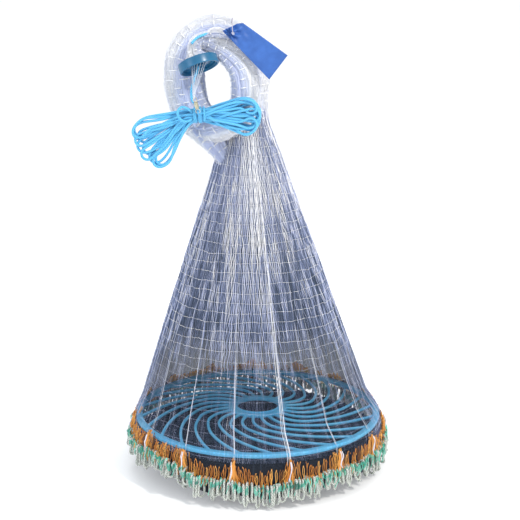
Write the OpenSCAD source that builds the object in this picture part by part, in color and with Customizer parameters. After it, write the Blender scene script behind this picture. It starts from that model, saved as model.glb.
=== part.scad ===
// Cast net with a flying disc inside, hung from the loop that its upper netting is coiled into.
// Millimetres. +Z is up, and the origin is the hanging point, under the top of the loop.

/* [Flying disc] */
// Outer diameter of the disc's rim
disc_d = 448; // [440:2:450]
// Width of the rim, seen from above
rim_w = 12; // [8:1:16]
// Height of the rim
rim_h = 8; // [5:1:8]
// Inner diameter of the hub ring
hub_hole_d = 76; // [60:2:80]
// Outer diameter of the hub ring
hub_d = 108; // [100:2:120]
// How far the hub stands above the rim
hub_rise = 8; // [4:1:14]
// Number of curved spokes
spokes = 24; // [16:1:28]
// Width of one spoke
spoke_w = 5; // [3:0.5:7]
// Thickness of one spoke
spoke_t = 5; // [3:0.5:6]

/* [Netting] */
// Thickness that the gathered netting of a panel takes up
panel_t = 3; // [1.5:0.5:3]
// Gap between neighbouring panels
panel_gap = 0.6; // [0.4:0.1:1]
// Diameter of a brail line
brail_d = 1.2; // [0.8:0.2:1.2]

/* [Hem] */
// Height of the coarse selvage netting under the panels
selvage_h = 38; // [30:1:40]
// Height of the gathered lead line's loops
lead_h = 40; // [30:1:45]
// Depth of the lead line's loops, from inside to outside
lead_t = 15; // [10:1:15]

/* [Collar] */
// Outer diameter of the collar ring
collar_d = 69; // [60:1:70]
// Height of the collar ring
collar_h = 15; // [12:1:16]
// Number of line holes in the collar's web
collar_holes = 12; // [8:1:12]

/* [Swivel] */
// Diameter of the swivel's barrel
barrel_d = 7.2; // [6:0.2:8]
// Length of the swivel's barrel
barrel_l = 12; // [11:0.5:13]
// Wire diameter of the swivel's eyes
eye_wire_d = 1.6; // [1.2:0.1:1.6]

/* [Hand line] */
// Diameter of the hand line
line_d = 4.6; // [4:0.2:5]
// Thickness of the hank's left lobe
left_lobe_t = 16; // [12:1:20]
// Thickness of the hank's right lobe
right_lobe_t = 22; // [16:1:22]

/* [Tag] */
// Thickness of the card tag
tag_t = 1; // [0.5:0.1:1]
// Diameter of the tag's tie hole
tag_hole_d = 6; // [5:0.5:7]

/* [Hidden] */
function two(i) = str(i < 10 ? "0" : "", i);
PANEL_NODES = [for (i = [1:15]) str("net_panel_", two(i))];

net_colour = [0.78, 0.81, 0.9];
disc_colour = [0.36, 0.66, 0.86];
line_colour = [0.45, 0.8, 0.96];

clear = 0.5;              // gap between soft pieces that only just touch
disc_x = 70;              // the disc's axis
disc_z = -645;            // middle height of the rim
rim_r = disc_d / 2;
rim_in = rim_r - rim_w;
hub_r = hub_d / 2;
skirt_z = -652;           // lower edge of the panels
panels = 15;              // netting panels, with a brail line at each join
first_seam = 20;          // angle of the first brail line
step = 360 / panels;

// Inner surface of the netting: height, centre x, centre y, radius
NET_PROFILE = [
    [-112, 52, 16, 38],
    [-200, 55, 13, 66],
    [-400, 60, 7, 134],
    [-608, 65.5, 1, 205],
    [disc_z + 5, disc_x, 0, rim_r + 1.8],
    [skirt_z, disc_x, 0, rim_r + 3.5]
];

// Gathered netting, from the neck up the right side, over the top and down the left: x, y, z, radius
COIL_OUTER = [
    [52, 16, -110, 35], [56, 16, -62, 32], [57, 16, -16, 32], [44, 16, 22, 31], [12, 16, 47, 30],
    [-26, 16, 42, 32], [-53, 14, 8, 35], [-57, 12, -38, 36], [-46, 6, -84, 34]
];
// The same bundle, on from there past the front of the neck, up the right and over to the collar
COIL_INNER = [
    [-24, 0, -112, 31], [10, -38, -106, 25], [42, -46, -82, 25], [50, -44, -42, 25], [43, -43, -6, 24],
    [21, -42, 18, 21], [0, -38, 29, 19], [-20, -40, 38, 15], [-34, -50, 36, 12], [-37, -60, 22, 14],
    [-33, -65, 12, 22]
];

// Centre line of one spoke: radius, angle swept from its root
SPOKE = [[50, 0], [75, 2.5], [92, 7], [107, 13], [124, 23], [150, 36], [172, 46], [195, 55], [217, 62]];
spoke_phase = 6.5;

// The collar ring hangs tilted: right side up, front side up
collar_at = [-30, -68, 3];
collar_turn = [-21, -20, 0];
collar_wall = 3.5;
web_t = 3;
web_z = -4;               // underside of the web, from the ring's middle
web_hole_r = 3.2;
web_hole_pcr = 21;
web_centre_r = 8;
leader_r = 0.5;
LEADER_ANGLES = [190, 215, 240, 265, 290, 315, 340];
leader_hole_r = 1.3;
leader_pcr = 13;          // the leaders' circle in the web, and at the crimp
crimp_pcr = 1.5;
crimp_r = 2.2;
crimp_l = 4;

swivel_at = [-33, -94, -63];
swivel_turn = [0, -14, 0];
eye_r = 3.4;              // mean radius of an eye
bore_r = 1.0;             // hole in each end of the barrel
stem_r = 0.9;
head_r = 2.1;
cavity_r = 2.5;
end_wall = 1.4;
eye_z = barrel_l / 2 + eye_r + 0.6;
crimp_z = eye_z + eye_r + eye_wire_d / 2 + 0.2;
becket_r = 1.5;           // cord of the short loop in the lower eye
becket_loop = 4.2;

waist_at = [-30, -74, -82];
waist_r = 14;
waist_l = 19;
left_lobe_y = -77;        // front face of the left lobe
right_lobe_y = -96;
LEFT_LOBE = [
    [-41, -72], [-56, -67], [-72, -67], [-100, -75], [-126, -85], [-143, -100], [-148, -116], [-143, -140],
    [-132, -162], [-118, -173], [-94, -176], [-77, -166], [-68, -142], [-60, -121], [-50, -106], [-41, -94]
];
RIGHT_LOBE = [
    [-19, -71], [-7, -60], [20, -53], [44, -49], [60, -51], [73, -62], [79, -81], [75, -98], [60, -114],
    [39, -121], [12, -117], [-8, -106], [-19, -94]
];
// Small loop of line beside the waist
BOW_ROUTE = [
    [-41, -84, -76], [-48, -86, -70], [-58, -86, -67], [-65, -86, -74], [-64, -86, -84], [-56, -86, -91],
    [-47, -86, -91], [-41, -84, -87]
];
// The line from the collar down to the waist
LEAD_ROUTE = [[-31, -67, 5], [-32, -69, -6], [-38, -73, -24], [-42, -76, -42], [-41, -77, -56], [-35, -75, -65]];
// The line's turn over the top of the inner coil
ARC_ROUTE = [
    [-41, -69, 38], [-36, -66, 44], [-27, -59.5, 49.5], [-13, -51, 53], [0, -46, 52.5], [13, -43, 48.5],
    [24, -38.5, 45.5]
];

tag_y = -75;              // front face of the tag
tag_tie_at = [29, 56];    // tie hole: x, z
TAG_OUTLINE = [[11, 60], [36, 72], [46, 73], [121, 19], [90, -22]];
tie_d = 1.4;
TIE_ROUTE = [
    [26, -14, 62], [27, -30, 60], [29, -52, 57], [29, -68, 56], [29, -80, 56], [28, -84, 64], [28, -80, 74],
    [28, -66, 79], [27, -48, 78], [26, -30, 72], [25, -16, 68]
];

$fn = 64;

// Catmull-Rom spline through the points p, between p[i] and p[i + 1]
function at(p, i) = p[max(0, min(len(p) - 1, i))];
function spline_point(p, i, t) =
    0.5 * (2 * at(p, i) + (at(p, i + 1) - at(p, i - 1)) * t
        + (2 * at(p, i - 1) - 5 * at(p, i) + 4 * at(p, i + 1) - at(p, i + 2)) * t * t
        + (3 * at(p, i) - at(p, i - 1) - 3 * at(p, i + 1) + at(p, i + 2)) * t * t * t);
function spline(p, n) = concat(
    [for (i = [0:len(p) - 2], k = [0:n - 1]) spline_point(p, i, k / n)],
    [p[len(p) - 1]]
);

function unit(v) = v / norm(v);
function xyz(p) = [p[0], p[1], p[2]];
function square_to(v, t) = unit(v - (v * t) * t);

// Surface of a tube: one ring of points round each station, carried along without twist
function tube_normals(path, tangents) = [
    for (i = 0, n = square_to([0.1, 1, 0.2], tangents[0]); i < len(path);
        i = i + 1, n = i < len(path) ? square_to(n, tangents[i]) : n) n
];
module tube(points, sides, from = 0, to = undef, start_gap = 0) {
    path = [for (p = points) xyz(p)];
    end = len(path) - 1;
    stop = is_undef(to) ? end : to;
    last = stop - from;
    tangents = [for (i = [0:end]) unit(path[min(end, i + 1)] - path[max(0, i - 1)])];
    normals = tube_normals(path, tangents);
    rings = [for (i = [from:stop], k = [0:sides - 1])
        let (a = 360 * k / sides, gap = i == from ? start_gap : 0)
        path[i] + gap * tangents[i]
            + points[i][3] * (cos(a) * normals[i] + sin(a) * cross(tangents[i], normals[i]))];
    walls = [for (i = [0:last - 1], k = [0:sides - 1])
        let (k2 = (k + 1) % sides)
        [i * sides + k, (i + 1) * sides + k, (i + 1) * sides + k2, i * sides + k2]];
    ends = [[for (k = [0:sides - 1]) k], [for (k = [sides - 1:-1:0]) last * sides + k]];
    polyhedron(rings, concat(walls, ends), convexity = 10);
}
module cord(route, n, r) tube([for (p = spline(route, n)) [p[0], p[1], p[2], r]], 8);

// A straight rod between two points
module rod(a, b, r) {
    v = b - a;
    translate(a) rotate([0, acos(v[2] / norm(v)), atan2(v[1], v[0])]) cylinder(h = norm(v), r = r);
}

// A point of the netting's profile, moved outwards by out
function net_point(level, angle, out) = [
    level[1] + (level[3] + out) * cos(angle),
    level[2] + (level[3] + out) * sin(angle),
    level[0]
];

module disc_rim() {
    color(disc_colour) translate([disc_x, 0, disc_z]) rotate_extrude($fn = 180)
        polygon([
            [rim_in, -rim_h / 4], [rim_in + 2, -rim_h / 2], [rim_r - 2, -rim_h / 2], [rim_r, -rim_h / 4],
            [rim_r, rim_h / 4], [rim_r - 2, rim_h / 2], [rim_in + 2, rim_h / 2], [rim_in, rim_h / 4]
        ]);
}

module disc_hub() {
    color(disc_colour) translate([disc_x, 0, disc_z + hub_rise]) rotate_extrude($fn = 120)
        polygon([
            [hub_hole_d / 2, -3], [hub_r, -3], [hub_r, 3], [hub_hole_d / 2, 3]
        ]);
}

// Outline of one spoke in plan, with parallel sides
function spoke_at(q) = [q[0] * cos(q[1]), q[0] * sin(q[1])];
module spoke_outline() {
    line = [for (q = spline(SPOKE, 2)) spoke_at(q)];
    last = len(line) - 1;
    sides = [for (i = [0:last])
        let (t = unit(line[min(last, i + 1)] - line[max(0, i - 1)]))
        [-t[1], t[0]] * spoke_w / 2];
    polygon(concat(
        [for (i = [0:last]) line[i] + sides[i]],
        [for (i = [last:-1:0]) line[i] - sides[i]]
    ));
}

// The spokes are cut from a shallow cone that falls from the hub to the rim
module disc_spokes() {
    half = spoke_t / 2;
    color(disc_colour) translate([disc_x, 0, disc_z]) intersection() {
        rotate_extrude($fn = 180) polygon([
            [hub_r, hub_rise - half], [rim_in, -half], [rim_in, half], [hub_r, hub_rise + half]
        ]);
        for (i = [0:spokes - 1])
            rotate(spoke_phase + i * 360 / spokes)
                translate([0, 0, -10]) linear_extrude(30) spoke_outline();
    }
}

// One panel of netting, between two brail lines
module net_panel(i) {
    cols = 4;
    from = first_seam + i * step;
    wide = cols + 1;
    levels = len(NET_PROFILE);
    layer = wide * levels;
    points = [for (out = [0, panel_t], level = NET_PROFILE, c = [0:cols])
        let (edge = panel_gap / level[3] * 90 / PI)
        net_point(level, from + edge + (step - 2 * edge) * c / cols, out)];
    function id(l, row, c) = l * layer + row * wide + c;
    faces = concat(
        [for (r = [0:levels - 2], c = [0:cols - 1]) [id(0, r, c), id(0, r + 1, c), id(0, r + 1, c + 1)]],
        [for (r = [0:levels - 2], c = [0:cols - 1]) [id(0, r, c), id(0, r + 1, c + 1), id(0, r, c + 1)]],
        [for (r = [0:levels - 2], c = [0:cols - 1]) [id(1, r, c), id(1, r + 1, c + 1), id(1, r + 1, c)]],
        [for (r = [0:levels - 2], c = [0:cols - 1]) [id(1, r, c), id(1, r, c + 1), id(1, r + 1, c + 1)]],
        [for (r = [0:levels - 2]) [id(0, r, 0), id(1, r, 0), id(1, r + 1, 0)]],
        [for (r = [0:levels - 2]) [id(0, r, 0), id(1, r + 1, 0), id(0, r + 1, 0)]],
        [for (r = [0:levels - 2]) [id(0, r, cols), id(1, r + 1, cols), id(1, r, cols)]],
        [for (r = [0:levels - 2]) [id(0, r, cols), id(0, r + 1, cols), id(1, r + 1, cols)]],
        [for (c = [0:cols - 1]) [id(0, 0, c), id(0, 0, c + 1), id(1, 0, c + 1)]],
        [for (c = [0:cols - 1]) [id(0, 0, c), id(1, 0, c + 1), id(1, 0, c)]],
        [for (c = [0:cols - 1]) [id(0, levels - 1, c), id(1, levels - 1, c + 1), id(0, levels - 1, c + 1)]],
        [for (c = [0:cols - 1]) [id(0, levels - 1, c), id(1, levels - 1, c), id(1, levels - 1, c + 1)]]
    );
    color(net_colour) polyhedron(points, faces, convexity = 4);
}

coil_steps = 3;
coil = spline(concat(COIL_OUTER, COIL_INNER), coil_steps);
coil_join = coil_steps * (len(COIL_OUTER) - 1);

module net_coil_outer() {
    color(net_colour) tube(coil, 16, to = coil_join);
}

module net_coil_inner() {
    color(net_colour) tube(coil, 16, from = coil_join, start_gap = clear);
}

// Lines inside the netting, from the neck down past the rim to the lead line
module brail_lines() {
    inset = -1.4;
    foot = [skirt_z - selvage_h + 2, disc_x, 0, rim_r + 3];
    for (i = [0:panels - 1])
        color("white") tube([for (level = concat(NET_PROFILE, [foot]))
            concat(net_point(level, first_seam + i * step, inset), [brail_d / 2])], 8);
}

// One length of the hem, with radii and heights
module hem_piece(i, r1, r2, z1, z2) {
    gap = 0.3;
    translate([disc_x, 0, 0]) rotate(first_seam + i * step + gap) rotate_extrude(angle = step - 2 * gap)
        polygon([[r1, z1], [r2, z1], [r2, z2], [r1, z2]]);
}

module selvage_netting() {
    for (i = [0:panels - 1])
        color("darkorange") hem_piece(i, rim_r + 5, rim_r + 9, skirt_z - selvage_h, skirt_z - clear);
}

module lashing_twine() {
    for (i = [0:panels - 1])
        color("teal") hem_piece(i, rim_r + 9.5, rim_r + 12, skirt_z - selvage_h + 1, skirt_z - selvage_h + 7);
}

module lead_line() {
    top = skirt_z - selvage_h - clear;
    for (i = [0:panels - 1])
        color("gray") hem_piece(i, rim_r + 1, rim_r + 1 + lead_t, top - lead_h, top);
}

module collar_ring() {
    r = collar_d / 2;
    half = collar_h / 2;
    color([0.15, 0.43, 0.58]) difference() {
        translate(collar_at) rotate(collar_turn) difference() {
            rotate_extrude() polygon([
                [0, web_z], [r - collar_wall, web_z], [r - collar_wall, -half], [r - 1, -half],
                [r, -half + 1], [r, half - 1], [r - 1, half], [r - collar_wall, half],
                [r - collar_wall, web_z + web_t], [0, web_z + web_t]
            ]);
            translate([0, 0, web_z - 1]) cylinder(h = web_t + 2, r = web_centre_r);
            for (k = [0:collar_holes - 1])
                rotate((k + 0.5) * 360 / collar_holes) translate([web_hole_pcr, 0, web_z - 1])
                    cylinder(h = web_t + 2, r = web_hole_r);
        }
        for (a = LEADER_ANGLES)
            rod(leader_head(a, web_t + 3), leader_tail(a), leader_hole_r);
    }
}

// A point of the tilted collar, in the part's frame
function turn_x(p, a) = [p[0], p[1] * cos(a) - p[2] * sin(a), p[1] * sin(a) + p[2] * cos(a)];
function turn_y(p, a) = [p[0] * cos(a) + p[2] * sin(a), p[1], -p[0] * sin(a) + p[2] * cos(a)];
function on_collar(p) = collar_at + turn_y(turn_x(p, collar_turn[0]), collar_turn[1]);
function on_swivel(p) = swivel_at + turn_y(p, swivel_turn[1]);

// The ends of one leader line: above the collar's web, and over the crimp at the swivel's upper eye
function leader_end(a) = on_collar([leader_pcr * cos(a), leader_pcr * sin(a), web_z]);
function leader_tail(a) = on_swivel([crimp_pcr * cos(a), crimp_pcr * sin(a), crimp_z + crimp_l + 0.4]);
function leader_head(a, beyond) = leader_end(a) + beyond * unit(leader_end(a) - leader_tail(a));

// Clear lines that run through the collar and meet in a crimp
module leader_lines() {
    color("white") {
        for (a = LEADER_ANGLES)
            rod(leader_head(a, web_t + 1.5), leader_tail(a), leader_r);
        on_swivel_axis() translate([0, 0, crimp_z]) cylinder(h = crimp_l, r = crimp_r);
    }
}

// A wire eye with its stem and the head that turns inside the barrel, above the barrel's middle
module swivel_eye() {
    head_z = barrel_l / 2 - end_wall - 0.2;
    translate([0, 0, eye_z]) rotate([90, 0, 0]) rotate_extrude() translate([eye_r, 0]) circle(d = eye_wire_d);
    translate([0, 0, head_z]) cylinder(h = eye_z - eye_r - head_z, r = stem_r);
    translate([0, 0, head_z - 1.8]) cylinder(h = 1.8, r = head_r);
}

module on_swivel_axis() {
    translate(swivel_at) rotate(swivel_turn) children();
}

module swivel_upper_eye() {
    color("silver") on_swivel_axis() rotate(35) swivel_eye();
}

module swivel_barrel() {
    half = barrel_l / 2;
    r = barrel_d / 2;
    color("goldenrod") on_swivel_axis() rotate_extrude() polygon([
        [bore_r, half], [r - 0.8, half], [r, half - 0.8], [r, -half + 0.8], [r - 0.8, -half],
        [bore_r, -half], [bore_r, -half + end_wall], [cavity_r, -half + end_wall],
        [cavity_r, half - end_wall], [bore_r, half - end_wall]
    ]);
}

module swivel_lower_eye() {
    color("silver") on_swivel_axis() rotate([180, 0, 0]) swivel_eye();
}

// Short loop and knot at the hand line's end, through the lower eye
module hand_line_end_knot() {
    color(line_colour) on_swivel_axis() {
        translate([0, 0, -eye_z - becket_loop]) rotate([0, 90, 0]) rotate_extrude()
            translate([becket_loop, 0]) circle(r = becket_r);
        translate([0, 0, -eye_z - 2 * becket_loop - 2.4]) sphere(r = 3.2);
    }
}

module hank_lobe(outline, front, thick) {
    color(line_colour) translate([0, front + thick, 0]) rotate([90, 0, 0]) linear_extrude(thick)
        polygon(outline);
}

module hand_line_hank_left() {
    hank_lobe(LEFT_LOBE, left_lobe_y, left_lobe_t);
}

module hand_line_hank_right() {
    hank_lobe(RIGHT_LOBE, right_lobe_y, right_lobe_t);
}

module hand_line_waist_wrap() {
    color(line_colour) translate(waist_at) rotate([0, 90, 0])
        cylinder(h = waist_l, r = waist_r, center = true);
}

module hand_line_bow() {
    color(line_colour) cord(BOW_ROUTE, 2, line_d / 2);
}

module hand_line_lead() {
    color(line_colour) cord(LEAD_ROUTE, 2, line_d / 2);
}

module hand_line_arc() {
    color(line_colour) cord(ARC_ROUTE, 2, line_d / 2);
}

module tag() {
    color([0.27, 0.51, 0.84]) translate([0, tag_y + tag_t, 0]) rotate([90, 0, 0]) difference() {
        linear_extrude(tag_t) polygon(TAG_OUTLINE);
        translate([tag_tie_at[0], tag_tie_at[1], -1]) cylinder(h = tag_t + 2, d = tag_hole_d);
    }
}

// Thin twine from the netting, through the tag's hole and back over its edge
module tag_tie() {
    color("white") cord(TIE_ROUTE, 2, tie_d / 2);
}

disc_rim();
disc_spokes();
disc_hub();
for (i = [0:panels - 1])
    net_panel(i);
net_coil_outer();
net_coil_inner();
brail_lines();
selvage_netting();
lashing_twine();
lead_line();
collar_ring();
leader_lines();
swivel_upper_eye();
swivel_barrel();
swivel_lower_eye();
hand_line_end_knot();
hand_line_hank_left();
hand_line_hank_right();
hand_line_waist_wrap();
hand_line_bow();
hand_line_lead();
hand_line_arc();
tag();
tag_tie();
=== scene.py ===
"""Cast net hung by its coiled netting: the looks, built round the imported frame. Metres, +Z up.

The origin is the hanging point. Every piece is made from the frame's own boxes and from the
profile and route points of the part, so it lies where its CAD node lies.
"""
import math

import bmesh
import bpy
import numpy as np
from mathutils import Matrix, Vector


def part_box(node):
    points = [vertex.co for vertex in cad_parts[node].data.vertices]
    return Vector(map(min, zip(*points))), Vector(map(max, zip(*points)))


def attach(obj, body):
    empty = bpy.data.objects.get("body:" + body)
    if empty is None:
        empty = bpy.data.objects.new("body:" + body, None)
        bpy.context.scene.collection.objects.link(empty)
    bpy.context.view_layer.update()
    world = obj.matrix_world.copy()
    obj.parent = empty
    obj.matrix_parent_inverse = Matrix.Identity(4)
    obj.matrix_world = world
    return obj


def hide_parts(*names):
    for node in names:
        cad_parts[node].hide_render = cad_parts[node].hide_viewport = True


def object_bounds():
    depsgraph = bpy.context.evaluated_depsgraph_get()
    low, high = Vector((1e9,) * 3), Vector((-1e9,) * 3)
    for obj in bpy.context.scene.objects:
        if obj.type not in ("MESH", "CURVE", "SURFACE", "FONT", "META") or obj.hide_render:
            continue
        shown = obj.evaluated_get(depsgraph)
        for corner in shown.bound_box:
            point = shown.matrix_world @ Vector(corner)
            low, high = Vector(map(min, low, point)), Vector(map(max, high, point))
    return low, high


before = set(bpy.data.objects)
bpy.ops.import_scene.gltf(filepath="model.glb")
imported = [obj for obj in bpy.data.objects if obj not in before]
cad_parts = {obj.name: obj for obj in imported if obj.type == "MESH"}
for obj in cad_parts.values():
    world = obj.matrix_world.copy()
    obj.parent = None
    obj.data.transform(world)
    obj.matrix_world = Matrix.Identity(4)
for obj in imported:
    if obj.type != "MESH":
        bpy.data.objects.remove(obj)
cad_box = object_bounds()
scene = bpy.context.scene
rng = np.random.default_rng(11)
MM = 0.001
TAU = 2 * math.pi

# ---------------------------------------------------------------- the part's own measures
rim_low, rim_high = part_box("disc_rim")
hub_low, hub_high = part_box("disc_hub")
DISC = np.array([(low + high) / 2 for low, high in zip(rim_low, rim_high)])
RIM_R = (rim_high[0] - rim_low[0]) / 2
HUB_R = (hub_high[0] - hub_low[0]) / 2
HUB_Z = (hub_low[2] + hub_high[2]) / 2
PANELS = 15
FIRST_SEAM = math.radians(20)
STEP = TAU / PANELS

# Netting, inner surface: height, centre x, centre y, radius
NET_PROFILE = np.array([
    (-78, 50, 16, 31), (-112, 52, 16, 37), (-200, 55, 13, 66), (-400, 60, 7, 134), (-608, 65.5, 1, 205),
    (-626, 68, 0, 215), (-640, 70, 0, 223), (-652, 70, 0, 226), (-690, 70, 0, 228), (-730, 70, 0, 225),
]) * MM
TOP_Z, NECK_Z, SKIRT_Z, HEM_Z, FLAP_Z = -0.079, -0.112, -0.652, -0.690, -0.721
# Height of the hem above its lowest place, by angle: degrees, millimetres
HEM_RISE = [(0, 18), (60, 36), (90, 38), (120, 36), (180, 22), (200, 21), (220, 26), (240, 12), (255, 4), (270, 1),
            (285, 3), (300, 9), (315, 10), (330, 7), (345, 9), (360, 18)]

# Gathered netting: x, y, z, radius
COIL_OUTER = [
    (52, 16, -110, 35), (56, 16, -62, 32), (57, 16, -16, 32), (44, 16, 22, 31), (12, 16, 47, 30),
    (-26, 16, 42, 32), (-53, 14, 8, 35), (-57, 12, -38, 36), (-46, 6, -84, 34),
]
COIL_INNER = [
    (-24, 0, -112, 31), (10, -38, -106, 25), (42, -46, -82, 25), (50, -44, -42, 25), (43, -43, -6, 24),
    (21, -42, 18, 21), (0, -38, 29, 19), (-20, -40, 38, 15), (-34, -50, 36, 12), (-37, -60, 22, 14),
    (-33, -65, 12, 22),
]
# Fold of netting that hangs from the coil beside the neck
POUCH = [
    (-50, 2, -74, 27), (-37, -3, -106, 26), (-13, -8, -132, 24), (8, -10, -160, 18), (24, -10, -190, 11),
    (37, -8, -222, 4),
]
# Strands gathered over the far part of the hand line's arc
COIL_WRAP = [
    (-21, -55, 49, 3.5), (-12, -50, 52, 7), (0, -45, 53, 9), (13, -42, 49, 9), (25, -37, 44, 8), (36, -34, 35, 6),
]
LINE_D = 4.6 * MM
LEAD_ROUTE = [(-31, -67, 5), (-32, -69, -6), (-38, -73, -24), (-42, -76, -42), (-41, -77, -56), (-35, -75, -65)]
ARC_ROUTE = [
    (-41, -69, 38), (-36, -66, 44), (-27, -59.5, 49.5), (-13, -51, 53), (0, -46, 52.5), (13, -43, 48.5),
    (24, -38.5, 45.5),
]
BOW_ROUTE = [
    (-41, -84, -76), (-48, -86, -70), (-58, -86, -67), (-65, -86, -74), (-64, -86, -84), (-56, -86, -91),
    (-47, -86, -91), (-41, -84, -87),
]
TIE_ROUTE = [
    (26, -14, 62), (27, -30, 60), (29, -52, 57), (29, -68, 56), (29, -80, 56), (28, -84, 64), (28, -80, 74),
    (28, -66, 79), (27, -48, 78), (26, -30, 72), (25, -16, 68),
]
# Card tag, x and z: the two corners of its cut tied end, its near corner, its two far corners; then its tie hole
TAG_OUTLINE = np.array([(11, 60), (36, 72), (46, 73), (121, 19), (90, -22)]) * MM
TAG_HOLE = np.array((29, 56)) * MM
SPOKE = [(50, 0), (75, 2.5), (92, 7), (107, 13), (124, 23), (150, 36), (172, 46), (195, 55), (217, 62)]
SPOKE_PHASE = 6.5
SPOKES = 24
COLLAR_AT = np.array((-30, -68, 3)) * MM
COLLAR_TURN = (math.radians(-21), math.radians(-20))


# ---------------------------------------------------------------- camera and light
def look_camera():
    cam = bpy.data.cameras.new("camera")
    cam.sensor_width = 36
    cam.lens = 100.5
    obj = bpy.data.objects.new("camera", cam)
    obj.location = (0.0743, -2.530, 0.302)
    obj.rotation_euler = (math.radians(75.4), 0, 0)
    scene.collection.objects.link(obj)
    scene.camera = obj


def area_light(name, place, target, size, power, colour=(1, 1, 1)):
    lamp = bpy.data.lights.new(name, "AREA")
    lamp.shape = "DISK"
    lamp.size = size
    lamp.energy = power
    lamp.color = colour
    obj = bpy.data.objects.new(name, lamp)
    obj.location = place
    aim = Vector(target) - Vector(place)
    obj.rotation_euler = aim.to_track_quat("-Z", "Y").to_euler()
    scene.collection.objects.link(obj)


def studio():
    world = bpy.data.worlds.new("studio")
    scene.world = world
    world.use_nodes = True
    sky = world.node_tree.nodes["Background"]
    sky.inputs["Color"].default_value = (0.93, 0.96, 1.0, 1)
    sky.inputs["Strength"].default_value = 0.94
    area_light("key", (1.3, -1.6, 1.5), (0.05, 0, -0.25), 0.30, 40, (1.0, 0.97, 0.92))
    area_light("back", (-0.6, 2.0, 1.2), (0.05, 0, -0.3), 0.8, 14, (0.95, 0.97, 1.0))
    area_light("fill", (-1.7, -1.5, 0.5), (0.0, 0, -0.2), 1.0, 9, (0.78, 0.86, 1.0))
    scene.view_settings.view_transform = "Standard"


# ---------------------------------------------------------------- materials
class Nodes:
    """A short way to write a node material."""

    def __init__(self, name, base, rough, metallic=0.0, specular=0.5):
        self.mat = bpy.data.materials.new(name)
        self.mat.use_nodes = True
        self.tree = self.mat.node_tree
        self.shader = self.tree.nodes["Principled BSDF"]
        self.set("Base Color", (*base, 1))
        self.set("Roughness", rough)
        self.set("Metallic", metallic)
        self.set("Specular IOR Level", specular)

    def set(self, socket, value):
        self.shader.inputs[socket].default_value = value

    def add(self, kind, **values):
        node = self.tree.nodes.new(kind)
        for key, value in values.items():
            setattr(node, key, value)
        return node

    def link(self, a, b):
        self.tree.links.new(a, b)

    def coords(self, kind="Object", scale=(1, 1, 1)):
        source = self.add("ShaderNodeTexCoord")
        mapping = self.add("ShaderNodeMapping")
        mapping.inputs["Scale"].default_value = scale
        self.link(source.outputs[kind], mapping.inputs["Vector"])
        return mapping.outputs["Vector"]

    def noise(self, vector, scale, detail=3.0):
        node = self.add("ShaderNodeTexNoise")
        node.inputs["Scale"].default_value = scale
        node.inputs["Detail"].default_value = detail
        self.link(vector, node.inputs["Vector"])
        return node.outputs["Fac"]

    def ramp(self, fac, stops):
        node = self.add("ShaderNodeValToRGB")
        ramp = node.color_ramp
        for place, colour in stops[2:]:
            ramp.elements.new(place)
        for element, (place, colour) in zip(sorted(ramp.elements, key=lambda e: e.position), stops):
            element.position = place
            element.color = (*colour, 1)
        self.link(fac, node.inputs["Fac"])
        return node.outputs["Color"]

    def math(self, operation, a, b=0.0):
        node = self.add("ShaderNodeMath", operation=operation)
        for value, socket in ((a, node.inputs[0]), (b, node.inputs[1])):
            if isinstance(value, bpy.types.NodeSocket):
                self.link(value, socket)
            else:
                socket.default_value = value
        return node.outputs[0]

    def colour(self, socket):
        self.link(socket, self.shader.inputs["Base Color"])

    def map_range(self, value, from_min=0.0, from_max=1.0, to_min=0.0, to_max=1.0):
        node = self.add("ShaderNodeMapRange")
        self.link(value, node.inputs["Value"])
        for socket, limit in zip(list(node.inputs)[1:5], (from_min, from_max, to_min, to_max)):
            socket.default_value = limit
        return node.outputs["Result"]

    def roughness(self, fac, low, high):
        self.link(self.map_range(fac, to_min=low, to_max=high), self.shader.inputs["Roughness"])

    def bump(self, height, strength, distance):
        node = self.add("ShaderNodeBump")
        node.inputs["Strength"].default_value = strength
        node.inputs["Distance"].default_value = distance
        self.link(height, node.inputs["Height"])
        self.link(node.outputs["Normal"], self.shader.inputs["Normal"])


def strand_material(name, stops, rough=0.35, sheen=0.0):
    """Nylon threads: each thread has its own shade, and the shade drifts along it."""
    n = Nodes(name, stops[1][1], rough)
    n.set("Sheen Weight", sheen)
    n.set("Sheen Roughness", 0.35)
    n.set("Sheen Tint", (0.50, 0.60, 1.0, 1))
    attribute = n.add("ShaderNodeAttribute", attribute_name="shade")
    drift = n.noise(n.coords(scale=(1, 1, 0.25)), 60)
    shade = n.math("ADD", attribute.outputs["Fac"], n.math("MULTIPLY", n.math("SUBTRACT", drift, 0.5), 0.5))
    n.colour(n.ramp(shade, stops))
    n.roughness(drift, rough - 0.1, rough + 0.15)
    return n.mat


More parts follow.
